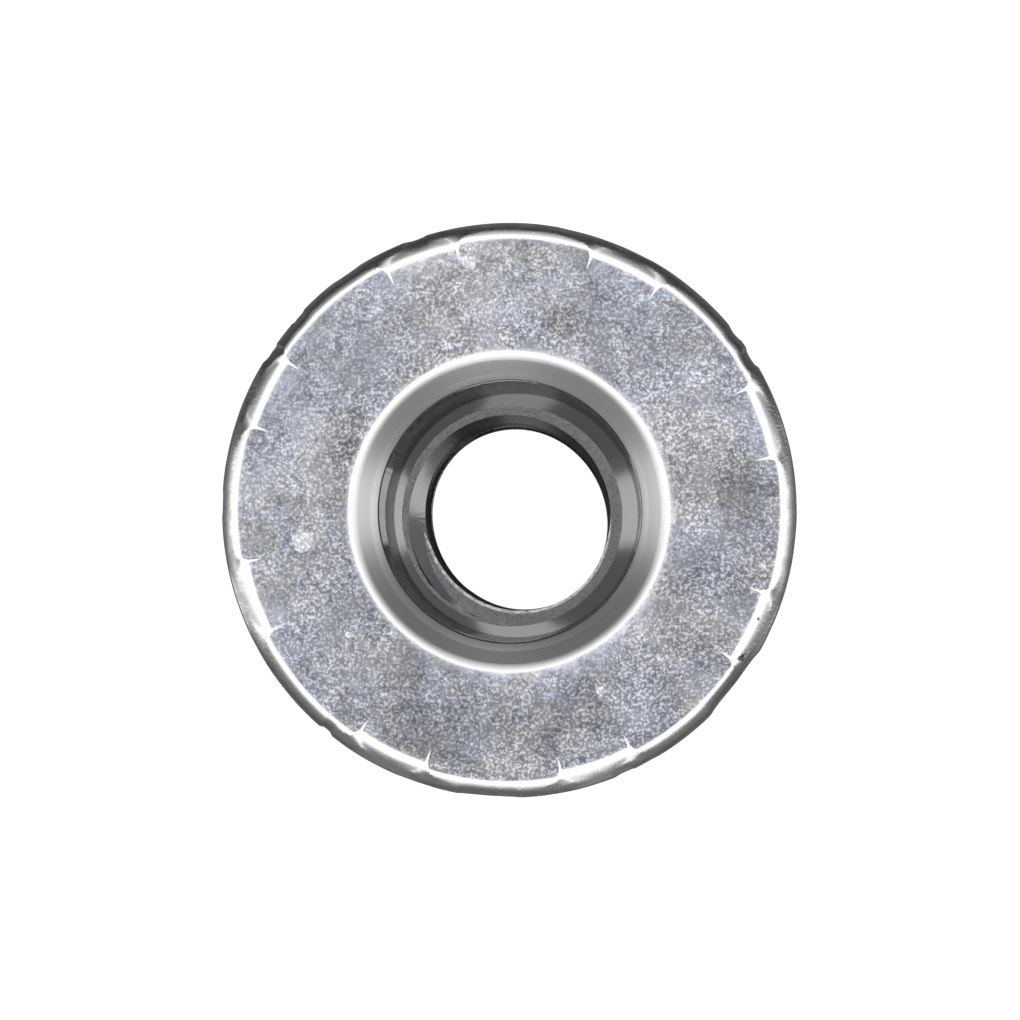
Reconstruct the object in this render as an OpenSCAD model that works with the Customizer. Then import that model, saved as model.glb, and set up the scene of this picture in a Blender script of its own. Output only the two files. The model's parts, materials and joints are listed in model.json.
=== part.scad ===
// Expansion nut: a one-piece blind nut, cold formed in steel and zinc plated.
// It stands on the open end of its shank, flange up, with its axis on Z and
// its origin at the centre of the end that it stands on. Sizes are in mm.

/* [Overall] */
// Height from the end of the shank to the flange's face
height = 15.5; // [13:0.1:22]
// Facets on a full circle, for the preview
facets = 160; // [48:8:240]

/* [Flange] */
// Diameter of the flange
flange_d = 15; // [12.5:0.1:20]
// Thickness of the flange
flange_t = 1.5; // [1.3:0.05:2.5]
// Radius of the flange's upper outer edge
rim_top_r = 0.5; // [0.3:0.05:0.7]
// Radius of the flange's lower outer edge
rim_bottom_r = 0.4; // [0.2:0.05:0.5]

/* [Recesses pressed into the rim] */
// Number of recesses
recess_count = 8; // [4:1:12]
// Angle that each recess spans
recess_span = 15.7; // [6:0.1:24]
// Angle from +X to the middle of the first recess
recess_turn = 19.1; // [0:0.1:45]
// Length of a recess, from the outside of the rim inwards
recess_l = 1.07; // [0.9:0.01:1.6]
// Slope of a recess's floor, down towards the rim
recess_slope = 1.8; // [1:0.1:6]
// Radius where a recess's floor turns down over the rim
recess_edge_r = 0.8; // [0.5:0.05:0.9]
// How far that radius has its centre in from the side of the flange
recess_edge_in = 0.685; // [0.65:0.005:0.8]
// Slope at which a recess leaves the rim
recess_end_slope = 36; // [30:1:42]

/* [Shank] */
// Thickness of the wall that collapses, around the plain bore
wall_t = 1.1; // [0.8:0.05:1.8]
// Radius of the fillet where the shank meets the flange
neck_r = 0.3; // [0.1:0.05:0.6]
// Length of the lead-in at the end of the shank
lead_l = 0.9; // [0.3:0.1:2]
// How far the lead-in cuts in from the side of the shank
lead_inset = 0.35; // [0.1:0.05:0.45]

/* [Plain bore] */
// Gap between a screw of the thread's size and the wall of the bore
bore_gap = 0.4; // [0.2:0.05:0.8]
// Depth from the flange's face to the shoulder at the end of the bore
bore_depth = 8.5; // [6:0.1:10]
// Slope of the shoulder, from level
shoulder_slope = 27.5; // [15:0.5:60]

/* [Mouth] */
// Width of the steep ring around the bore
lip_w = 0.23; // [0.1:0.01:0.4]
// Slope of that ring, from level
lip_slope = 45; // [20:1:50]
// Width of the cone outside it, with its rounded edge
mouth_w = 0.62; // [0.4:0.01:0.7]
// Slope of that cone, from level
mouth_slope = 38; // [30:1:45]
// Radius of the edge where the mouth meets the face
mouth_edge_r = 0.55; // [0.1:0.05:0.55]

/* [Thread] */
// Nominal diameter of the thread
thread_d = 6; // [5:0.5:7]
// Depth of the thread, from its nominal diameter in to its crests
thread_depth = 0.4; // [0.3:0.025:0.5]
// How far the countersink at each end is wider than the thread, on a side
sink_margin = 0.08; // [0.02:0.01:0.15]
// Slope of those countersinks, from level
sink_slope = 45; // [30:1:60]

/* [Hidden] */
$fn = facets;

// Radii from the thread outwards
minor_r = thread_d / 2 - thread_depth;
sink_r = thread_d / 2 + sink_margin;
bore_r = thread_d / 2 + bore_gap;
mouth_inner_r = bore_r + lip_w;
mouth_r = mouth_inner_r + mouth_w;
shank_r = bore_r + wall_t;
flange_r = flange_d / 2;
under_z = height - flange_t;

// The mouth: a rounded edge, a cone, and a steep ring down to the bore
edge_end_r = mouth_r - mouth_edge_r * sin(mouth_slope);
edge_end_z = height - mouth_edge_r * (1 - cos(mouth_slope));
ring_z = edge_end_z - (edge_end_r - mouth_inner_r) * tan(mouth_slope);
lip_z = ring_z - (mouth_inner_r - bore_r) * tan(lip_slope);

// The shoulder and the countersinks at the two ends of the thread
shoulder_z = height - bore_depth;
sink_top_z = shoulder_z - (bore_r - sink_r) * tan(shoulder_slope);
sink_l = (sink_r - minor_r) * tan(sink_slope);
thread_top_z = sink_top_z - sink_l;

// A recess: a straight floor, an arc, and a straight slope out over the rim
recess_in_r = flange_r - recess_l;
recess_arc_r = flange_r - recess_edge_in;
floor_end_r = recess_arc_r + recess_edge_r * sin(recess_slope);
floor_end_z = height - (floor_end_r - recess_in_r) * tan(recess_slope);
recess_arc_z = floor_end_z - recess_edge_r * cos(recess_slope);
slope_start_r = recess_arc_r + recess_edge_r * sin(recess_end_slope);
slope_start_z = recess_arc_z + recess_edge_r * cos(recess_end_slope);

// How far a cutting shape reaches past the metal
past = 1;

// Half section of the flange, with its two rounded edges
module flange_half() {
    top_edge = [flange_r - rim_top_r, height - rim_top_r];
    bottom_edge = [flange_r - rim_bottom_r, under_z + rim_bottom_r];
    translate([0, under_z]) square([bottom_edge.x, top_edge.y - under_z]);
    translate([0, bottom_edge.y]) square([flange_r, top_edge.y - bottom_edge.y]);
    translate([0, top_edge.y]) square([top_edge.x, rim_top_r]);
    translate(top_edge) circle(r = rim_top_r);
    translate(bottom_edge) circle(r = rim_bottom_r);
}

// Half section of the shank, with its lead-in and the fillet under the flange
module shank_half() {
    polygon([
        [0, 0], [shank_r - lead_inset, 0], [shank_r, lead_l],
        [shank_r, height - flange_t / 2], [0, height - flange_t / 2]
    ]);
    difference() {
        translate([shank_r, under_z - neck_r]) square(neck_r);
        translate([shank_r + neck_r, under_z - neck_r]) circle(r = neck_r);
    }
}

// Half section of the hollow: mouth, bore, shoulder and the hole for the thread
module hollow_half() {
    polygon([
        [0, -past],
        [sink_r + past / tan(sink_slope), -past],
        [minor_r, sink_l],
        [minor_r, thread_top_z],
        [sink_r, sink_top_z],
        [bore_r, shoulder_z],
        [bore_r, lip_z],
        [mouth_inner_r, ring_z],
        [edge_end_r, edge_end_z],
        [mouth_r, height],
        [mouth_r, height + past],
        [0, height + past]
    ]);
}

// Metal that the mouth's rounded edge leaves outside its straight chord
module mouth_edge_half() {
    intersection() {
        translate([mouth_r, height - mouth_edge_r]) circle(r = mouth_edge_r);
        translate([edge_end_r, height - mouth_edge_r])
            square([mouth_r - edge_end_r, mouth_edge_r]);
    }
}

// What one recess takes out of the flange, drawn as a half section
module recess_half() {
    slope_end_r = flange_r + past;
    slope_end_z = slope_start_z - (slope_end_r - slope_start_r) * tan(recess_end_slope);
    difference() {
        translate([recess_in_r, slope_end_z])
            square([slope_end_r - recess_in_r, height + past - slope_end_z]);
        polygon([
            [recess_in_r - past, slope_end_z],
            [slope_end_r, slope_end_z],
            [slope_start_r, slope_start_z],
            [floor_end_r, floor_end_z],
            [recess_in_r - past, height + past * tan(recess_slope)]
        ]);
        translate([recess_arc_r, recess_arc_z]) circle(r = recess_edge_r);
    }
}

module recesses() {
    for (i = [0 : recess_count - 1])
        rotate([0, 0, recess_turn - recess_span / 2 + i * 360 / recess_count])
            rotate_extrude(angle = recess_span) recess_half();
}

module nut() {
    color("silver") difference() {
        rotate_extrude() {
            difference() {
                union() {
                    flange_half();
                    shank_half();
                }
                hollow_half();
            }
            mouth_edge_half();
        }
        recesses();
    }
}

nut();
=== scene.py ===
# %% [markdown]
# # Expansion nut
# This lesson turns the solid of a blind nut into a finished model. The real nut is
# one piece of steel: a blank is pressed into a tube with a wide flange, the narrow end is
# tapped, and the whole piece is plated with zinc. So the model is one closed skin too, made
# by turning half of the nut's section round its axis, pressing the flange's recesses into it
# and cutting the thread with a tap.
# The first step loads the solid as a frame. Nothing in it is moved, and its sizes
# are what every later step is built on.

# %% Load the frame
import json
import math

import bmesh
import bpy
from mathutils import Matrix, Vector, noise


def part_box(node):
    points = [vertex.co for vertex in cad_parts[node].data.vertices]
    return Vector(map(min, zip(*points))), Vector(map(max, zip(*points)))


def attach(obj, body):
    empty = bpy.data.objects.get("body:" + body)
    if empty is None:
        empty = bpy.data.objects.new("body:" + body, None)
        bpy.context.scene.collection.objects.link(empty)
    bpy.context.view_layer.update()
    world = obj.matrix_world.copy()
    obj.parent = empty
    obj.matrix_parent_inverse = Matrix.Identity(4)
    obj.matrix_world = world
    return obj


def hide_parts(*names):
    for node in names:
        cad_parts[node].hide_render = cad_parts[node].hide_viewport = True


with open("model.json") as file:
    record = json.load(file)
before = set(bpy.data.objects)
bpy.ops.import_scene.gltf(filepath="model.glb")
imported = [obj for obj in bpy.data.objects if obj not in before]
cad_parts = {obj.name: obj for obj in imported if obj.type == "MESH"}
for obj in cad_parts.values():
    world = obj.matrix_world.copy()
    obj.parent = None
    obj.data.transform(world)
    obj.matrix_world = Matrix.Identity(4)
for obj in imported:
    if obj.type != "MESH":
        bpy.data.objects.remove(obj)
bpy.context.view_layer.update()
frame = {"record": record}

# %% [markdown]
# ## Sizes from the frame
# A stranger's screw and sheet fit the mounts that the record states, so the radii of the
# thread, the bore and the shank are read from there. The mesh is shaped in millimetres,
# which reads well next to a drawing, and is scaled to metres at the very end.

# %% Read the sizes
MM = 0.001
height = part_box("nut")[1].z / MM
flange_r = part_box("nut")[1].x / MM
sizes = {mount["name"]: mount["dims"] for mount in frame["record"]["mounts"]}
crest_r = sizes["thread"]["r_mm"]
bore_r = sizes["plain_bore"]["r_mm"]
shank_r = sizes["shank"]["r_mm"]
print("height", height, "and radii of the flange", flange_r, "the thread's crests", crest_r,
      "the bore", bore_r, "the shank", shank_r)

# %% [markdown]
# ## The camera
# The camera looks almost straight down on the flange from about 112 mm above it, a little
# to the right of the axis and towards the viewer, so the deep end of the hole slides
# towards the lower right. A long lens on the usual 36 mm sensor keeps the nut flat and calm.
# A camera that looks almost straight down has no useful horizon, so its axes are built by
# hand from the line of sight and the direction that is up in the picture, which is +Y.

# %% Set the camera
CAMERA_RIGHT, CAMERA_FRONT, CAMERA_RISE = 2.16, 2.11, 112.1
SENSOR, LENS = 36, 152.5


def aim(place, target, up=Vector((0, 1, 0))):
    """A matrix that stands at place, looks at target and keeps up upwards in the picture."""
    forward = (target - place).normalized()
    right = forward.cross(up).normalized()
    turned = Matrix((right, right.cross(forward), -forward)).transposed()
    return Matrix.Translation(place) @ turned.to_4x4()


scene = bpy.context.scene
camera_data = bpy.data.cameras.new("camera")
camera_data.sensor_width = SENSOR
camera_data.lens = LENS
camera_data.clip_start, camera_data.clip_end = 0.01, 5
camera = bpy.data.objects.new("camera", camera_data)
camera_place = Vector((CAMERA_RIGHT, -CAMERA_FRONT, height + CAMERA_RISE)) * MM
camera_target = Vector((0.034, -0.010, height)) * MM
camera.matrix_world = aim(camera_place, camera_target)
scene.collection.objects.link(camera)
scene.camera = camera
print("camera at", [round(value / MM, 2) for value in camera_place])

# %% [markdown]
# ## From a drawing to a mesh
# Every mesh below is drawn in millimetres. This helper scales a finished bmesh to metres and
# hands it to an object that stands at the origin.

# %% Make an object
def mesh_object(name, bm):
    """Makes a mesh object from a bmesh in millimetres and frees the bmesh."""
    mesh = bpy.data.meshes.new(name)
    bmesh.ops.scale(bm, vec=(MM, MM, MM), verts=bm.verts)
    bm.to_mesh(mesh)
    bm.free()
    made = bpy.data.objects.new(name, mesh)
    scene.collection.objects.link(made)
    return made


print("mesh helper ready")

# %% [markdown]
# ## The half section
# Turned parts are drawn as half a section. A few corners are enough, because a bevel on the
# corners of a bare wire rounds them, as a press or a tumbling drum does on the real nut. Each
# row below is a corner's distance from the axis, its height, the radius that rounds it and
# the number of steps in that arc. A corner with no steps stays sharp.
# The corners run up the hollow, over the flange and down the shank. At the top of the thread
# a narrow burr stands round the hole, and the countersink rises from it to the shoulder. The
# mouth is a thin ledge at the top of the bore, a steep small step, a cone and a rounded edge.
# Just outside it the flat face sinks by a few hundredths of a millimetre, which catches a
# soft halo of light.

# %% Lay out the corners
THREAD_DEPTH, SINK_MARGIN, SINK_SLOPE = 0.4, 0.08, 45
BORE_DEPTH, SHOULDER_SLOPE = 8.5, 27.5
BURR_RISE, BURR_WIDTH, BURR_SLANT = 0.02, 0.08, 0.015
LEDGE_DEPTH = 0.62
FLANGE_T, FACE_END_R = 1.5, 6.36
LEAD_INSET, LEAD_L = 0.35, 0.9
thread_r = crest_r + THREAD_DEPTH
sink_r = thread_r + SINK_MARGIN
sink_drop = (sink_r - crest_r) * math.tan(math.radians(SINK_SLOPE))
shoulder_z = height - BORE_DEPTH
sink_top = shoulder_z - (bore_r - sink_r) * math.tan(math.radians(SHOULDER_SLOPE))
under_z = height - FLANGE_T
lead_r = shank_r - LEAD_INSET
burr_z = sink_top - sink_drop + BURR_RISE
HOLLOW = [
    (crest_r, sink_drop, 0, 0), (crest_r, burr_z, 0, 0),
    (crest_r + BURR_WIDTH, burr_z + BURR_SLANT, 0, 0), (sink_r, sink_top, 0, 0),
    (bore_r, shoulder_z, 0, 0), (bore_r, height - 0.85, 0, 0), (bore_r, height - LEDGE_DEPTH, 0, 0),
    (bore_r + 0.025, height - 0.605, 0, 0), (bore_r + 0.055, height - 0.525, 0.01, 2),
    (bore_r + 0.23, height - 0.4, 0.1, 4), (4.05, height - 0.05, 0.5, 16),
    (4.3, height - 0.021, 2, 4), (4.75, height, 6, 3),
]
OUTSIDE = [
    (FACE_END_R, height, 0, 0), (flange_r, height, 0.5, 14),
    (flange_r, under_z, 0.4, 8), (shank_r, under_z, 0.3, 6), (shank_r, LEAD_L, 0.3, 3),
    (lead_r, 0, 0.06, 3), (sink_r, 0, 0.04, 2),
]
section = HOLLOW + OUTSIDE
print(len(section), "corners")

# %% [markdown]
# The section starts as a closed wire. Its corners are rounded one at a time, and how far a
# bevel slides along both sides of a corner is worked out from the radius that is wanted
# there. The flat part of the face near the rim is cut into short steps, because the recesses
# bend it later.

# %% Draw the half section
SAME_PLACE = 1e-4
FACE_CUTS = 10


def round_corner(bm, corner, radius, steps):
    """Rounds one corner of a wire with an arc of this radius."""
    one, two = [edge.other_vert(corner).co - corner.co for edge in corner.link_edges]
    slide = radius * math.tan((math.pi - one.angle(two)) / 2)
    bmesh.ops.bevel(bm, geom=[corner], offset=slide, offset_type="OFFSET", segments=steps,
                    profile=0.5, affect="VERTICES", material=-1)


bm = bmesh.new()
corners = [bm.verts.new((r, 0, z)) for r, z, radius, steps in section]
for start, end in zip(corners, corners[1:] + corners[:1]):
    bm.edges.new((start, end))
for corner, (r, z, radius, steps) in zip(corners, section):
    if steps:
        round_corner(bm, corner, radius, steps)
near_rim = [vert for vert in bm.verts
            if abs(vert.co.z - height) < SAME_PLACE and vert.co.x > FACE_END_R - 0.01]
face_edges = [edge for edge in bm.edges
              if all(vert in near_rim for vert in edge.verts) and edge.calc_length() > 0.2]
bmesh.ops.subdivide_edges(bm, edges=face_edges, cuts=FACE_CUTS)
print(len(bm.verts), "points in the section")

# %% [markdown]
# ## Turning the section
# A spin turns the wire into a skin. The recesses need narrow walls, so the steps are fine
# where a wall will stand and coarser between the walls. Each spin takes up the ring that the
# last one ended on, and eight rounds of wall, recess, wall and land close the circle. Each
# part of a round is given by its angle and its number of steps.

# %% Turn the section
RECESSES = 8
RECESS_TURN, RECESS_SPAN = 19.1, 15.7
WALL_SPAN = 4.0
pitch_span = 360 / RECESSES
rounds = [(WALL_SPAN, 20), (RECESS_SPAN - WALL_SPAN, 14), (WALL_SPAN, 20),
          (pitch_span - RECESS_SPAN - WALL_SPAN, 32)]
first_wall = math.radians(RECESS_TURN - (RECESS_SPAN + WALL_SPAN) / 2)
bmesh.ops.rotate(bm, verts=bm.verts, cent=(0, 0, 0), matrix=Matrix.Rotation(first_wall, 3, "Z"))
ring = list(bm.verts) + list(bm.edges)
for span, steps in rounds * RECESSES:
    turned = bmesh.ops.spin(bm, geom=ring, cent=(0, 0, 0), axis=(0, 0, 1), dvec=(0, 0, 0),
                            angle=math.radians(span), steps=steps, use_duplicate=False)
    ring = turned["geom_last"]
bmesh.ops.remove_doubles(bm, verts=bm.verts, dist=SAME_PLACE)
bmesh.ops.recalc_face_normals(bm, faces=bm.faces)
print(len(bm.faces), "faces after turning")

# %% [markdown]
# ## Pressing the recesses
# A toothed punch presses eight shallow recesses into the rim of the real flange. The floor
# of a recess slopes gently down towards the rim and then rolls over the edge earlier than
# the rim between the recesses does. Its two side walls are slanted, by 12.5 degrees from
# level at their inner ends and by only 3 at the rim, so a wall grows wider as the recess gets
# deeper. The skin is pushed down onto that shape.

# %% Press the recesses
RECESS_L, EDGE_INSET, EDGE_R = 1.07, 0.685, 0.8
FLOOR_SLOPE, EDGE_END = math.radians(1.8), math.radians(36)
WALL_SLOPE, WALL_SLOPE_LOSS = 12.5, 9.5
WALL_BEND_R, WALL_BEND, WALL_SOFT = 7.12, 0.16, 0.006
RIM_SIDE = 0.6
RECESS_IN_R = flange_r - RECESS_L
arc_r = flange_r - EDGE_INSET
floor_end_r = arc_r + EDGE_R * math.sin(FLOOR_SLOPE)
arc_z = (height - (floor_end_r - RECESS_IN_R) * math.tan(FLOOR_SLOPE)
         - EDGE_R * math.cos(FLOOR_SLOPE))
arc_end_r = arc_r + EDGE_R * math.sin(EDGE_END)


def floor_height(r):
    """Height of a recess's floor at this radius."""
    if r < floor_end_r:
        return height - (r - RECESS_IN_R) * math.tan(FLOOR_SLOPE)
    if r < arc_end_r:
        return arc_z + math.sqrt(EDGE_R ** 2 - (r - arc_r) ** 2)
    return arc_z + EDGE_R * math.cos(EDGE_END) - (r - arc_end_r) * math.tan(EDGE_END)


def ramp(value, top, soft):
    """Value, held between 0 and top, with both bends rounded off."""
    low = max(value, 0) + max(soft - abs(value), 0) ** 2 / (4 * soft)
    over = low - top
    return low - max(over, 0) - max(soft - abs(over), 0) ** 2 / (4 * soft)


pressed = 0
for vert in bm.verts:
    r = min(vert.co.xy.length, flange_r)
    deep = vert.co.z - floor_height(r)
    if r > RECESS_IN_R and vert.co.z > under_z + RIM_SIDE and deep > 0:
        turn = math.degrees(math.atan2(vert.co.y, vert.co.x)) - RECESS_TURN
        off = abs((turn + pitch_span / 2) % pitch_span - pitch_span / 2)
        past_wall = r * math.radians(off - RECESS_SPAN / 2)
        bend = min(max((r - WALL_BEND_R) / WALL_BEND, 0), 1)
        steep = math.radians(WALL_SLOPE - WALL_SLOPE_LOSS * bend)
        rise = ramp(deep / 2 + past_wall * math.tan(steep), deep, min(deep / 3, WALL_SOFT))
        pressed += rise < deep - SAME_PLACE
        vert.co.z += rise - deep
print(pressed, "points pressed down")

# %% [markdown]
# ## Dents in the rim
# Nuts are tumbled and shipped loose in a bag, so the rim has picked up small flats and
# nicks. Each dent is given by its bearing, its half width in degrees and its depth. A dent
# only ever pushes metal inwards, so the rim stays inside the solid.

# %% Dent the rim
DENTS = [
    (32, 2.2, 0.065), (38, 1.5, 0.04), (70, 10, 0.02), (109, 2, 0.035), (124.5, 3, 0.02),
    (137.5, 2, 0.04), (142, 4, 0.03), (146.5, 2.2, 0.05), (178.5, 2.5, 0.018),
    (230.3, 1.6, 0.06), (251, 4, 0.012), (266, 6.5, 0.035), (294, 2, 0.035),
    (298, 3, 0.012), (322.5, 8, 0.075),
]
DENT_IN_R, RUB = 7.1, 0.006


def dent_depth(bearing):
    """How far the rim is pushed in at this bearing, in mm."""
    total = 0
    for middle, half, deep in DENTS:
        off = abs((bearing - middle + 180) % 360 - 180) / half
        total += deep * max(1 - off ** 4, 0) if off < 1 else 0
    return total


for vert in bm.verts:
    r = vert.co.xy.length
    if r > DENT_IN_R and vert.co.z > under_z:
        bearing = math.degrees(math.atan2(vert.co.y, vert.co.x))
        share = min((r - DENT_IN_R) / 0.3, 1) * min((vert.co.z - under_z) / 0.5, 1)
        rub = RUB * (1 + noise.noise(Vector((vert.co.x, vert.co.y, 3 * vert.co.z)) * 1.5))
        inwards = (dent_depth(bearing) + rub) * share
        vert.co.xy *= 1 - inwards / r
print(len(DENTS), "dents in the rim")

# %% [markdown]
# ## A hollow that wanders
# Pressing and tapping never stay quite on the axis. On this nut the countersink sits nearly
# a tenth of a millimetre to the left of the flange's middle, the bore to the right, and the
# threaded hole is slightly oval. Each row below is a height, how far the hollow is moved
# along X and Y there, and how far it is out of round. The hollow's skin slides by what lies
# between two rows, and less and less where the mouth rolls over into the face. Where the
# countersink breaks into the shoulder, its edge slides along the shoulder's slope. The ledge
# at the top of the bore is a little ragged, as a sheared edge is, and at the left a short
# tongue of it is bent inwards and down. The tongue's rows are a bearing and its length there.

# %% Let the hollow wander
STATIONS = [
    (0.4, 0.05, -0.01, 0.08), (6.3, 0.07, -0.03, 0.08), (6.83, -0.075, -0.02, 0),
    (6.9, 0.04, 0, 0), (height - LEDGE_DEPTH, 0.03, -0.03, 0), (height - 0.3, 0.005, -0.06, 0),
    (height - 0.003, 0.005, -0.05, 0), (height, 0, 0, 0),
]
LONG_AXIS = 120
SINK_END_R, WANDER_END_R, WANDER_FADE = 3.2, 4.7, 0.4
TONGUE = [(152, 0), (161, 0.15), (196, 0.11), (207, 0)]
TONGUE_SLOPE, RAGGED = 38, 0.006


def between_rows(rows, value):
    """The numbers that follow value in a table of rows, blended between its neighbours."""
    low = high = rows[0]
    for high in rows:
        if value < high[0]:
            break
        low = high
    share = (value - low[0]) / (high[0] - low[0]) if high[0] > low[0] else 0
    share = min(max(share, 0), 1)
    return [one + (two - one) * share for one, two in zip(low[1:], high[1:])]


def wander(place):
    """How far the hollow's skin sits from its drawn place, here."""
    x, y, oval = between_rows(STATIONS, place.z)
    outwards = Vector((place.x, place.y, 0)).normalized()
    turn = 2 * (math.atan2(place.y, place.x) - math.radians(LONG_AXIS))
    return Vector((x, y, 0)) + outwards * oval * math.cos(turn)


bore_middle = wander(Vector((0, 0, shoulder_z))).xy
for vert in bm.verts:
    r = vert.co.xy.length
    if r < (SINK_END_R if vert.co.z < 1 else WANDER_END_R):
        if abs(vert.co.z - height + LEDGE_DEPTH) < 0.01:
            tongue = between_rows(TONGUE, math.degrees(math.atan2(vert.co.y, vert.co.x)) % 360)[0]
            vert.co.xy *= 1 - (tongue + RAGGED * noise.noise(vert.co * 9)) / r
            vert.co.z -= tongue * math.tan(math.radians(TONGUE_SLOPE))
        vert.co += wander(vert.co) * min(max((WANDER_END_R - r) / WANDER_FADE, 0), 1)
        if sink_top - 0.1 < vert.co.z < sink_top + 0.02:
            slid_out = (vert.co.xy - bore_middle).length - r
            vert.co.z += slid_out * math.tan(math.radians(SHOULDER_SLOPE))
print("the bore sits off the axis by", [round(value, 3) for value in bore_middle])

# %% [markdown]
# ## The thread
# The thread is cut as it is on the real nut, with a tap. One tooth of the tap is a small
# face with sloping flanks, and a spin that also sinks sweeps it along a right-hand helix,
# one millimetre a turn. The tooth reaches past both ends of the threaded part, so the first
# groove runs out in the countersink, and a Boolean takes the tap's path out of the skin.

# %% Shape the tap
PITCH, TURNS, STEPS_A_TURN = 1.0, 9, 96
TAP_START, TAP_RISE = math.radians(218), 0.9
ROOT_R = 2.3
tooth = [(ROOT_R, 0.4665), (crest_r, 0.308), (thread_r, 0.0625),
         (thread_r, -0.0625), (crest_r, -0.308), (ROOT_R, -0.4665)]
tap = bmesh.new()
tooth_verts = [tap.verts.new((r, 0, sink_top + TAP_RISE + z)) for r, z in tooth]
tooth_face = tap.faces.new(tooth_verts)
bmesh.ops.rotate(tap, verts=tap.verts, cent=(0, 0, 0), matrix=Matrix.Rotation(TAP_START, 3, "Z"))
bmesh.ops.spin(tap, geom=[*tap.verts, *tap.edges, tooth_face], cent=(0, 0, 0), axis=(0, 0, 1),
               dvec=(0, 0, -PITCH / STEPS_A_TURN), angle=-2 * math.pi * TURNS,
               steps=STEPS_A_TURN * TURNS, use_duplicate=False)
for vert in tap.verts:
    vert.co += wander(vert.co)
bmesh.ops.recalc_face_normals(tap, faces=tap.faces)
print(len(tap.faces), "faces on the tap")

# %% [markdown]
# A Boolean works on objects, so the skin and the tap become objects. The modifier is applied
# and the tap is thrown away, which leaves one plain mesh.

# %% Cut the thread
nut = mesh_object("plated_nut", bm)
tap_object = mesh_object("tap", tap)
cut = nut.modifiers.new("thread", "BOOLEAN")
cut.operation, cut.solver, cut.object = "DIFFERENCE", "EXACT", tap_object
depsgraph = bpy.context.evaluated_depsgraph_get()
cut_mesh = bpy.data.meshes.new_from_object(nut.evaluated_get(depsgraph), depsgraph=depsgraph)
nut.modifiers.clear()
nut.data = cut_mesh
bpy.data.objects.remove(tap_object)
print(len(nut.data.polygons), "faces with the thread")

# %% [markdown]
# Smooth shading makes the turned skin look round, but the edges of the thread and the small
# steps of the mouth have to stay crisp. Edges that turn by more than twelve degrees are
# marked sharp, which smooth shading respects. The countersinks at the two ends of the thread
# are cut with a tool that chatters, so their faces carry a number, "chatter", which the
# material reads to make them coarse. It is 1 on the countersinks and a half on the burr.

# %% Shade the skin
SHARP = math.radians(12)
SINK_FACES, BURR_FACES = (37, 60), (0, 22)
bm = bmesh.new()
bm.from_mesh(nut.data)
bmesh.ops.remove_doubles(bm, verts=bm.verts, dist=1e-8)
chatter = bm.faces.layers.float.new("chatter")
for face in bm.faces:
    face.smooth = True
    middle = face.calc_center_median() / MM
    slope = math.degrees(math.acos(min(abs(face.normal.z), 1)))
    off_axis = (middle - wander(middle)).xy.length
    near_end = middle.z < 0.5 or sink_top - 0.5 < middle.z < sink_top + 0.03
    if near_end and off_axis < sink_r - 0.02:
        if SINK_FACES[0] < slope < SINK_FACES[1]:
            face[chatter] = 1.0
        elif BURR_FACES[0] <= slope < BURR_FACES[1]:
            face[chatter] = 0.5
for edge in bm.edges:
    edge.smooth = not (edge.is_manifold and edge.calc_face_angle(0) > SHARP)
print("open edges:", sum(not edge.is_manifold for edge in bm.edges),
      "triangles:", sum(len(face.verts) - 2 for face in bm.faces),
      "coarse faces:", sum(face[chatter] > 0.5 for face in bm.faces),
      "burr faces:", sum(face[chatter] == 0.5 for face in bm.faces),
      "volume in cubic mm:", round(bm.calc_volume() / MM ** 3, 1))
bm.to_mesh(nut.data)
bm.free()

# %% [markdown]
# Smooth shading blends the directions of neighbouring faces, so a wide flat face next to a
# narrow round one would look bent. The Weighted Normal modifier lets the wide faces keep
# their own direction, and the narrow ones do the bending.

# %% Keep the wide faces flat
weighted = nut.modifiers.new("normals", "WEIGHTED_NORMAL")
weighted.weight, weighted.keep_sharp = 60, True
depsgraph = bpy.context.evaluated_depsgraph_get()
smooth_mesh = bpy.data.meshes.new_from_object(nut.evaluated_get(depsgraph), depsgraph=depsgraph)
nut.modifiers.clear()
nut.data = smooth_mesh
nut.data.name = "plated_nut"
print("custom normals:", nut.data.has_custom_normals)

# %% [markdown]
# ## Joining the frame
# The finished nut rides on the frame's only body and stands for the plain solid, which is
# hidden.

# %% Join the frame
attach(nut, "root")
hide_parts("nut")

# %% [markdown]
# ## The zinc finish
# Bright zinc is a thin metal coat, grown as fine crystals, so it sparkles where it was left
# rough and shines softly where it was rubbed or pressed. The material is built from plain
# nodes that read the nut's own coordinates. Small helpers keep that readable: one adds a
# node and sets or links its sockets by name, and one does arithmetic.

# %% Node helpers
zinc = bpy.data.materials.new("bright_zinc")
zinc.use_nodes = True
tree = zinc.node_tree
tree.nodes.clear()


def add(kind, settings=None, **sockets):
    """Adds a node. A socket given another node's output is linked; else it gets the value."""
    made = tree.nodes.new("ShaderNode" + kind)
    for name, value in (settings or {}).items():
        setattr(made, name, value)
    for name, value in sockets.items():
        put(made.inputs[name.replace("_", " ")], value)
    return made


def put(socket, value):
    """Links a socket to an output, or sets its value."""
    if isinstance(value, bpy.types.NodeSocket):
        tree.links.new(value, socket)
    else:
        socket.default_value = value


def calc(operation, *values):
    """Arithmetic on outputs and numbers."""
    made = tree.nodes.new("ShaderNodeMath")
    made.operation = operation
    for socket, value in zip(made.inputs, values):
        put(socket, value)
    return made.outputs[0]


print("node helpers ready")

# %% [markdown]
# The last helpers are short names for what the finish needs again and again: a smooth step
# between two values, a noise, and mixes of two colours or two numbers. A lean turns an angle
# into the number that a direction's Z axis shows at that angle.

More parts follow.
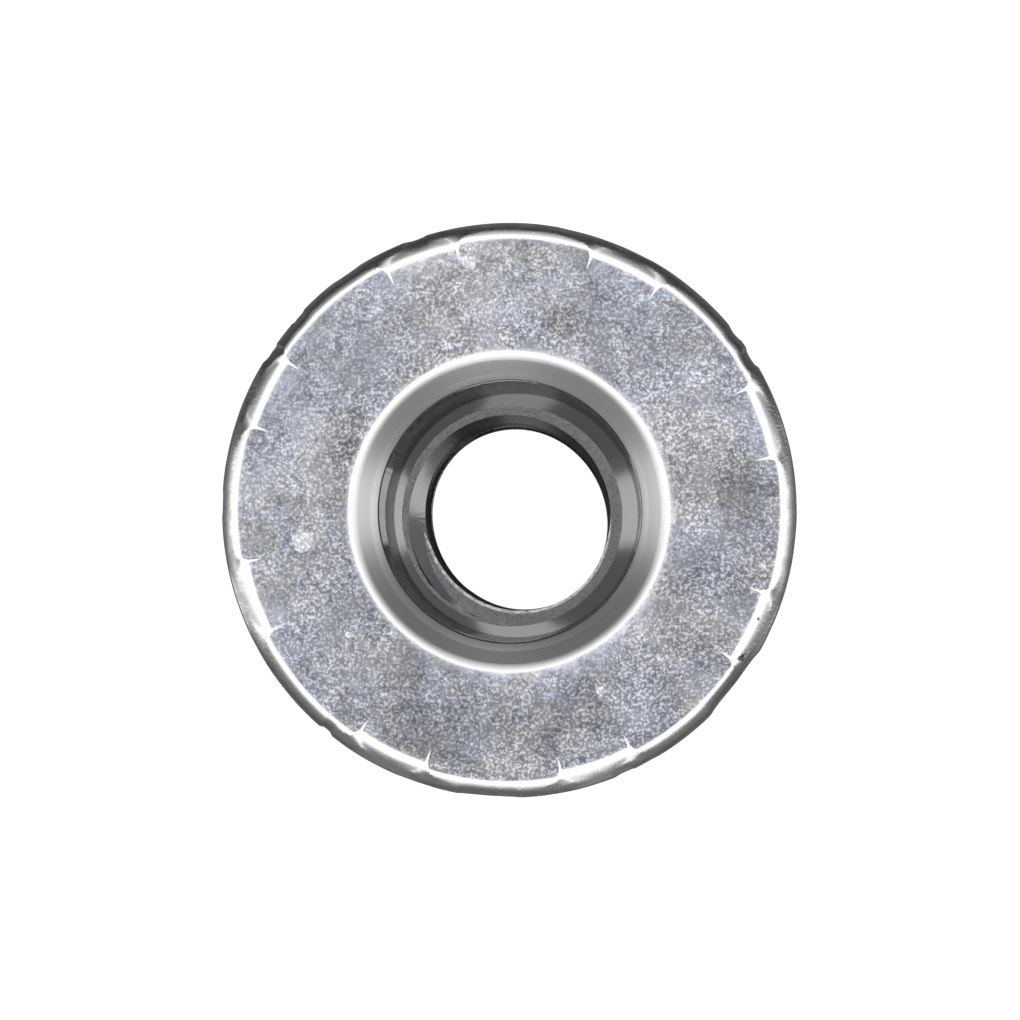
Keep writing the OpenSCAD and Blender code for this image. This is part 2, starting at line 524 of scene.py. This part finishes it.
# %% Helpers for the finish
def lean(degrees):
    """The Z of a direction that leans this far from the axis."""
    return math.cos(math.radians(degrees))


def between(value, low, high, start=0.0, end=1.0):
    """Start where value is under low, end where it is over high, smooth between them."""
    made = add("MapRange", {"interpolation_type": "SMOOTHSTEP"}, Value=value, From_Min=low,
               From_Max=high, To_Min=start, To_Max=end)
    return made.outputs["Result"]


def speckle(scale, detail=2.0, rough=0.5, where=None, twist=0.0):
    """A noise value; scale is in spots per millimetre."""
    made = add("TexNoise", Vector=where or place, Scale=scale / MM, Detail=detail,
               Roughness=rough, Distortion=twist)
    return made.outputs["Fac"]


def blend(share, one, two, how="MIX"):
    """Mixes two colours."""
    made = tree.nodes.new("ShaderNodeMix")
    made.data_type, made.blend_type = "RGBA", how
    put(made.inputs["Factor"], share)
    put(made.inputs[6], one)
    put(made.inputs[7], two)
    return made.outputs[2]


def mix(share, one, two):
    """A number between one and two."""
    return add("Mix", Factor=share, A=one, B=two).outputs["Result"]


place = add("TexCoord").outputs["Object"]
axes = add("SeparateXYZ", Vector=place).outputs
print("the finish reads", place.name, "coordinates")

# %% [markdown]
# ### Where each finish lies
# The face keeps the blank's grain, while whatever the tools touched is smoother: the mouth
# and the rim a little, and the bore and the shoulder a lot. The bore's upright wall gets
# painted shade, a darker colour than the rest, and the countersinks are the coarsest. Masks
# on the height, on the distance from the axis, on the slope and on the chatter number tell
# these places apart. Each fades over a short distance or a few degrees, so no finish ends in
# a hard line.

# %% Masks
MOUTH_END, RIM_START = 5.0 * MM, 6.0 * MM
NECK_IN, NECK_OUT = 4.3 * MM, 4.4 * MM
LIP_IN, LIP_OUT = 3.7 * MM, 3.8 * MM
LIP_TOP, LIP_LOW = (height - 0.57) * MM, (height - 0.6) * MM
WALL_TOP, WALL_LOW = (height - 0.8) * MM, (height - 0.9) * MM
flat_place = add("CombineXYZ", X=axes["X"], Y=axes["Y"], Z=0.0).outputs[0]
reach = add("VectorMath", {"operation": "LENGTH"}, Vector=flat_place).outputs["Value"]
upright = add("SeparateXYZ", Vector=add("TexCoord").outputs["Normal"]).outputs["Z"]
upright = calc("ABSOLUTE", upright)
grain_end = mix(between(reach, MOUTH_END, RIM_START), lean(11), lean(8))
on_face = between(upright, grain_end, lean(2.5))
on_side = between(upright, lean(20), lean(32))
outside = calc("MULTIPLY", on_side, between(reach, NECK_IN, NECK_OUT))
in_bore = calc("MULTIPLY", between(axes["Z"], LIP_TOP, LIP_LOW), between(reach, LIP_OUT, LIP_IN))
on_wall = calc("MAXIMUM", between(upright, 0.4, 0.2), between(axes["Z"], WALL_LOW, WALL_TOP))
on_wall = calc("MULTIPLY", in_bore, on_wall)
chattered = add("Attribute", {"attribute_name": "chatter"}).outputs["Fac"]
print(len(tree.nodes), "nodes tell the places apart")

# %% [markdown]
# ### Grain
# Seen close, the face is mottled in thousands of pale and dark specks, each less than a
# tenth of a millimetre across. In some places they stand out, and in others the skin has
# been rubbed paler and smoother. A rough noise makes the mottling, a finer one adds the
# brightest specks, and a broad one shares out the coarse and the rubbed places. The shank and
# the side of the rim were drawn through a die, so their marks are stretched along the axis.

# %% Grain
DRAWN_OUT = 0.15
coarse = between(speckle(0.9, 4, 0.65, twist=0.5), 0.42, 0.56)
cloud = between(speckle(5.5, 4, 0.8), 0.34, 0.7)
specks = between(speckle(12, 1, 0.5), 0.5, 0.7)
fine = speckle(11.0, 2, 0.6)
stretched = add("VectorMath", {"operation": "MULTIPLY"}, Vector=place)
stretched.inputs[1].default_value = (1, 1, DRAWN_OUT)
drawn = speckle(2.5, 4, 0.65, where=stretched.outputs[0])
in_coarse = calc("MULTIPLY_ADD", specks, 0.2, calc("MULTIPLY_ADD", cloud, 0.56, 0.4))
in_rubbed = calc("MULTIPLY_ADD", specks, 0.1, calc("MULTIPLY_ADD", cloud, 0.3, 0.62))
grain = mix(coarse, in_rubbed, in_coarse)
print(len(tree.nodes), "nodes with the grain")

# %% [markdown]
# ### Patches, scuffs and dirt
# A nut that has been shipped loose is never even. Broad patches are a little lighter or
# darker, other nuts have rubbed a few small places bright, and two grains of dirt stick near
# the rim. Each row is a place and a size in millimetres, and a patch's row ends with how much
# lighter or darker it is. A coarse noise makes their edges uneven.

# %% Patches, scuffs and dirt
FACE_TONE, DIRT_TONE = 0.81, 0.12
RAGGED_EDGE = 0.5
PATCHES = [
    (4.7, 2.9, 1.7, 0.15), (-0.9, 5.8, 2.1, 0.15), (-5.4, -0.2, 0.9, 0.1), (1.2, -4.4, 0.8, 0.12),
    (3.2, -3.2, 0.8, 0.12), (-1.9, -5.3, 2.2, -0.2), (1.4, -5.5, 1.5, -0.18), (6.3, 0.2, 1.2, -0.2),
    (4.2, -2.7, 0.8, -0.1), (-4.8, -3.4, 1.3, -0.1), (-4.4, 1.3, 0.9, -0.12),
]
SCUFFS = [(-5.34, -0.81, 0.34), (-1.06, 6.42, 0.26), (-4.12, -3.3, 0.16), (2.37, -4.68, 0.14)]
DIRT = [(6.08, -3.8, 0.13), (6.49, -2.81, 0.07)]
uneven = add("TexNoise", Vector=place, Scale=2.5 / MM, Detail=3.0).outputs["Color"]
uneven = add("VectorMath", {"operation": "MULTIPLY_ADD"}, Vector=uneven).outputs[0]
uneven.node.inputs[1].default_value = (RAGGED_EDGE * MM, RAGGED_EDGE * MM, 0)
tree.links.new(flat_place, uneven.node.inputs[2])


def spot(x, y, size):
    """1 inside a spot with an uneven edge, 0 outside it."""
    gap = add("VectorMath", {"operation": "DISTANCE"}, Vector=uneven)
    middle = ((x + RAGGED_EDGE / 2) * MM, (y + RAGGED_EDGE / 2) * MM, 0)
    gap.inputs[1].default_value = middle
    return between(gap.outputs["Value"], size * MM, 0.5 * size * MM)


blotch = between(speckle(1.2, 4, 0.6), 0.3, 0.7, 0.77, 1.22)
for x, y, size, gain in PATCHES:
    blotch = calc("MULTIPLY_ADD", spot(x, y, size), gain, blotch)
shade = calc("MULTIPLY", grain, blotch)
for x, y, size in SCUFFS:
    shade = mix(spot(x, y, size), shade, calc("MULTIPLY_ADD", cloud, 0.2, 1.15))
shade = mix(on_face, mix(outside, 1.0, between(drawn, 0.3, 0.7, 0.78, 1.1)),
            calc("MULTIPLY", shade, FACE_TONE))
for x, y, size in DIRT:
    shade = mix(spot(x, y, size), shade, DIRT_TONE)
shade = calc("MULTIPLY", shade, mix(chattered, 1.0, calc("MULTIPLY_ADD", fine, 0.8, 0.6)))
print(len(PATCHES), "patches", len(SCUFFS), "scuffs", len(DIRT), "specks of dirt")

# %% [markdown]
# ### Colour
# Zinc is a pale bluish grey. Its passivated skin drifts between blue and a plainer grey in
# patches of a millimetre or two. In the mouth it is a warmer grey, and the upright wall of
# the bore is painted darkest, as painted shade deep in the hollow.

# %% Colour
BLUE_ZINC, GREY_ZINC = (0.645, 0.675, 0.79, 1), (0.7, 0.71, 0.75, 1)
RIM_ZINC, MOUTH_ZINC = (0.76, 0.75, 0.76, 1), (0.7, 0.685, 0.69, 1)
# The wall's colour on the next line is painted shade: the bore's upright wall is coloured dark for
# the shade deep in the hollow.
BORE_ZINC, WALL_PAINTED_SHADE = (0.90, 0.89, 0.91, 1), (0.31, 0.305, 0.31, 1)
SINK_ZINC = (0.95, 0.95, 0.98, 1)
drift = between(speckle(0.55, 3, 0.6, twist=0.4), 0.38, 0.62)
grainy = blend(drift, BLUE_ZINC, GREY_ZINC)
smooth = blend(between(reach, 4.0 * MM, 3.7 * MM), RIM_ZINC, MOUTH_ZINC)
smooth = blend(in_bore, smooth, BORE_ZINC)
# Painted shade: the bore's upright wall takes the dark colour.
smooth = blend(on_wall, smooth, WALL_PAINTED_SHADE)
smooth = blend(chattered, smooth, SINK_ZINC)
skin = blend(on_face, smooth, grainy)
tone = blend(1.0, skin, add("CombineColor", Red=shade, Green=shade, Blue=shade).outputs[0],
             "MULTIPLY")
print(len(tree.nodes), "nodes with the colour")

# %% [markdown]
# ### Relief and gloss
# The grain is real relief, so it goes to the bump too and not only to the colour. The specks
# are rougher than the skin between them. The bore's wall is nearly a mirror, and its edge
# tint is turned down, which paints shade on it where it is seen at a glancing angle.

# %% Relief and gloss
ROUGH_FACE, ROUGH_SPECK, ROUGH_RIM, ROUGH_MOUTH = 0.25, 0.34, 0.24, 0.35
ROUGH_SIDE, ROUGH_DRAWN = 0.32, 0.2
ROUGH_BORE, ROUGH_WALL, ROUGH_SINK = 0.08, 0.12, 0.9
DEPTH_RIM, DEPTH_DRAWN, DEPTH_RUBBED, DEPTH_COARSE, DEPTH_SINK = 0.06, 0.25, 0.35, 1.0, 4.0
BUMP_HEIGHT = 0.006 * MM
rough = mix(between(reach, MOUTH_END, RIM_START), ROUGH_MOUTH, mix(on_side, ROUGH_RIM, ROUGH_SIDE))
rough = mix(outside, rough, between(drawn, 0.3, 0.7, ROUGH_SIDE, ROUGH_DRAWN))
rough = mix(on_face, rough, mix(specks, ROUGH_FACE, ROUGH_SPECK))
rough = mix(in_bore, rough, mix(on_wall, ROUGH_BORE, ROUGH_WALL))
rough = mix(chattered, rough, ROUGH_SINK)
depth = mix(outside, DEPTH_RIM, DEPTH_DRAWN)
depth = mix(on_face, depth, mix(coarse, DEPTH_RUBBED, DEPTH_COARSE))
depth = mix(in_bore, depth, 0.0)
depth = mix(chattered, depth, DEPTH_SINK)
bumps = calc("MULTIPLY", calc("ADD", specks, calc("MULTIPLY", fine, 0.7)), depth)
relief = add("Bump", Strength=1.0, Distance=BUMP_HEIGHT, Height=bumps)
# Painted shade: the wall's edge tint is turned dark, so the wall stays dark at a glancing angle.
painted_wall_shade_tint = blend(on_wall, (1, 1, 1, 1), (0.25, 0.25, 0.25, 1))
shader = add("BsdfPrincipled", Base_Color=tone, Metallic=1.0, Roughness=rough,
             Specular_Tint=painted_wall_shade_tint, Normal=relief.outputs[0])
add("OutputMaterial", Surface=shader.outputs[0])
nut.data.materials.clear()
nut.data.materials.append(zinc)
print(len(tree.nodes), "nodes in the zinc")

# %% [markdown]
# ## Floor and backdrop
# The nut stands on a plain pale floor with a slight gloss. To the camera the floor is white,
# and to the light it is a dull grey, which keeps the side of the rim dark. The floor lies a
# fiftieth of a millimetre below the nut's end, because two faces in the same place flicker.

# %% Floor
FLOOR_R, FLOOR_DROP = 900, 0.02
FLOOR_GREY = (0.1, 0.1, 0.1, 1)
pale_floor = bpy.data.materials.new("pale_floor")
pale_floor.use_nodes = True
tree = pale_floor.node_tree
tree.nodes.clear()
board = add("BsdfPrincipled", Base_Color=FLOOR_GREY, Roughness=0.2)
glow = add("Emission", Color=(1, 1, 1, 1), Strength=1.0)
lit = add("AddShader")
tree.links.new(board.outputs[0], lit.inputs[0])
tree.links.new(glow.outputs[0], lit.inputs[1])
seen = add("MixShader", Fac=add("LightPath").outputs["Is Camera Ray"])
tree.links.new(board.outputs[0], seen.inputs[1])
tree.links.new(lit.outputs[0], seen.inputs[2])
add("OutputMaterial", Surface=seen.outputs[0])

bm = bmesh.new()
bmesh.ops.create_circle(bm, cap_ends=True, segments=96, radius=FLOOR_R)
bmesh.ops.translate(bm, verts=bm.verts, vec=(0, 0, -FLOOR_DROP))
floor = mesh_object("floor", bm)
floor.data.materials.append(pale_floor)
print("floor is", round(floor.dimensions.x, 2), "m across")

# %% [markdown]
# ## Light
# Polished metal shows whatever stands round it, so the light is a whole white tent. Its roof
# glows in a ring round the dark hole that the camera looks through. Four panels hang below
# the roof: bright at the left and right, dimmer at the front and dim at the back, with
# darker corners between them. Below the roof the tent's front and back are grey, a little
# lighter near the top. The tent is painted on the world, where a place is a direction, and
# to the camera the world is plain white. Angles are counted from straight up.

# %% Roof
ROOF = 1.3
HOLE_TOWARDS = Vector((0.02, -0.035, 1))
world = bpy.data.worlds.new("tent")
scene.world = world
world.use_nodes = True
tree = world.node_tree
tree.nodes.clear()
way = add("TexCoord").outputs["Object"]
axes = add("SeparateXYZ", Vector=way).outputs
from_up = calc("ARCCOSINE", axes["Z"])
from_hole = add("VectorMath", {"operation": "DOT_PRODUCT"}, Vector=way)
from_hole.inputs[1].default_value = HOLE_TOWARDS.normalized()
from_hole = calc("ARCCOSINE", from_hole.outputs["Value"])
hole = between(from_hole, math.radians(8), math.radians(14))
roof = calc("MULTIPLY", hole, between(from_up, math.radians(38), math.radians(50), ROOF, 0.0))
print("roof brightness", ROOF)

# %% [markdown]
# A panel covers the directions whose bearing is within less than twenty degrees of its own.
# It is brightest at the top and fades towards the floor. Each row is a panel's bearing, half
# its width in degrees, its brightness, and the angle at which it has faded. The two bright
# panels reach past the horizon and keep some light there.

# %% Panels
PANELS = [(-1.5, 17, 1.2, 92), (86, 18, 0.5, 72), (183, 19, 1.2, 92), (274, 17.5, 0.9, 76)]
BACK, BACK_TOP, FRONT, FRONT_TOP, FADED = 0.03, 0.24, 0.2, 0.3, 0.3
level_way = add("VectorMath", {"operation": "NORMALIZE"},
                Vector=add("CombineXYZ", X=axes["X"], Y=axes["Y"], Z=0.0).outputs[0]).outputs[0]
to_front = between(axes["Y"], 0.4, -0.4)
front_top = calc("MULTIPLY", between(from_up, math.radians(46), math.radians(58), FRONT_TOP, 0.0),
                 to_front)
back = between(from_up, math.radians(57), math.radians(80), BACK_TOP, BACK)
tent = calc("ADD", calc("ADD", roof, front_top), mix(to_front, back, FRONT))
for bearing, half, brightness, low_end in PANELS:
    facing = Vector((math.cos(math.radians(bearing)), math.sin(math.radians(bearing)), 0))
    nearness = add("VectorMath", {"operation": "DOT_PRODUCT"}, Vector=level_way)
    nearness.inputs[1].default_value = facing
    panel = between(nearness.outputs["Value"], lean(half + 1), lean(half - 1), 0.0, brightness)
    panel = calc("MULTIPLY", panel, between(from_up, math.radians(43), math.radians(49)))
    fade = between(from_up, math.radians(58), math.radians(low_end), 1.0,
                   FADED if low_end > 90 else 0.0)
    tent = calc("ADD", tent, calc("MULTIPLY", panel, fade))
inside_tent = add("Background", Color=(1, 1, 1, 1), Strength=tent)
backdrop = add("Background", Color=(1, 1, 1, 1), Strength=1.0)
seen = add("MixShader", Fac=add("LightPath").outputs["Is Camera Ray"])
tree.links.new(inside_tent.outputs[0], seen.inputs[1])
tree.links.new(backdrop.outputs[0], seen.inputs[2])
add("OutputWorld", Surface=seen.outputs[0])
scene.view_settings.view_transform = "Standard"
print(len(PANELS), "panels in the tent")
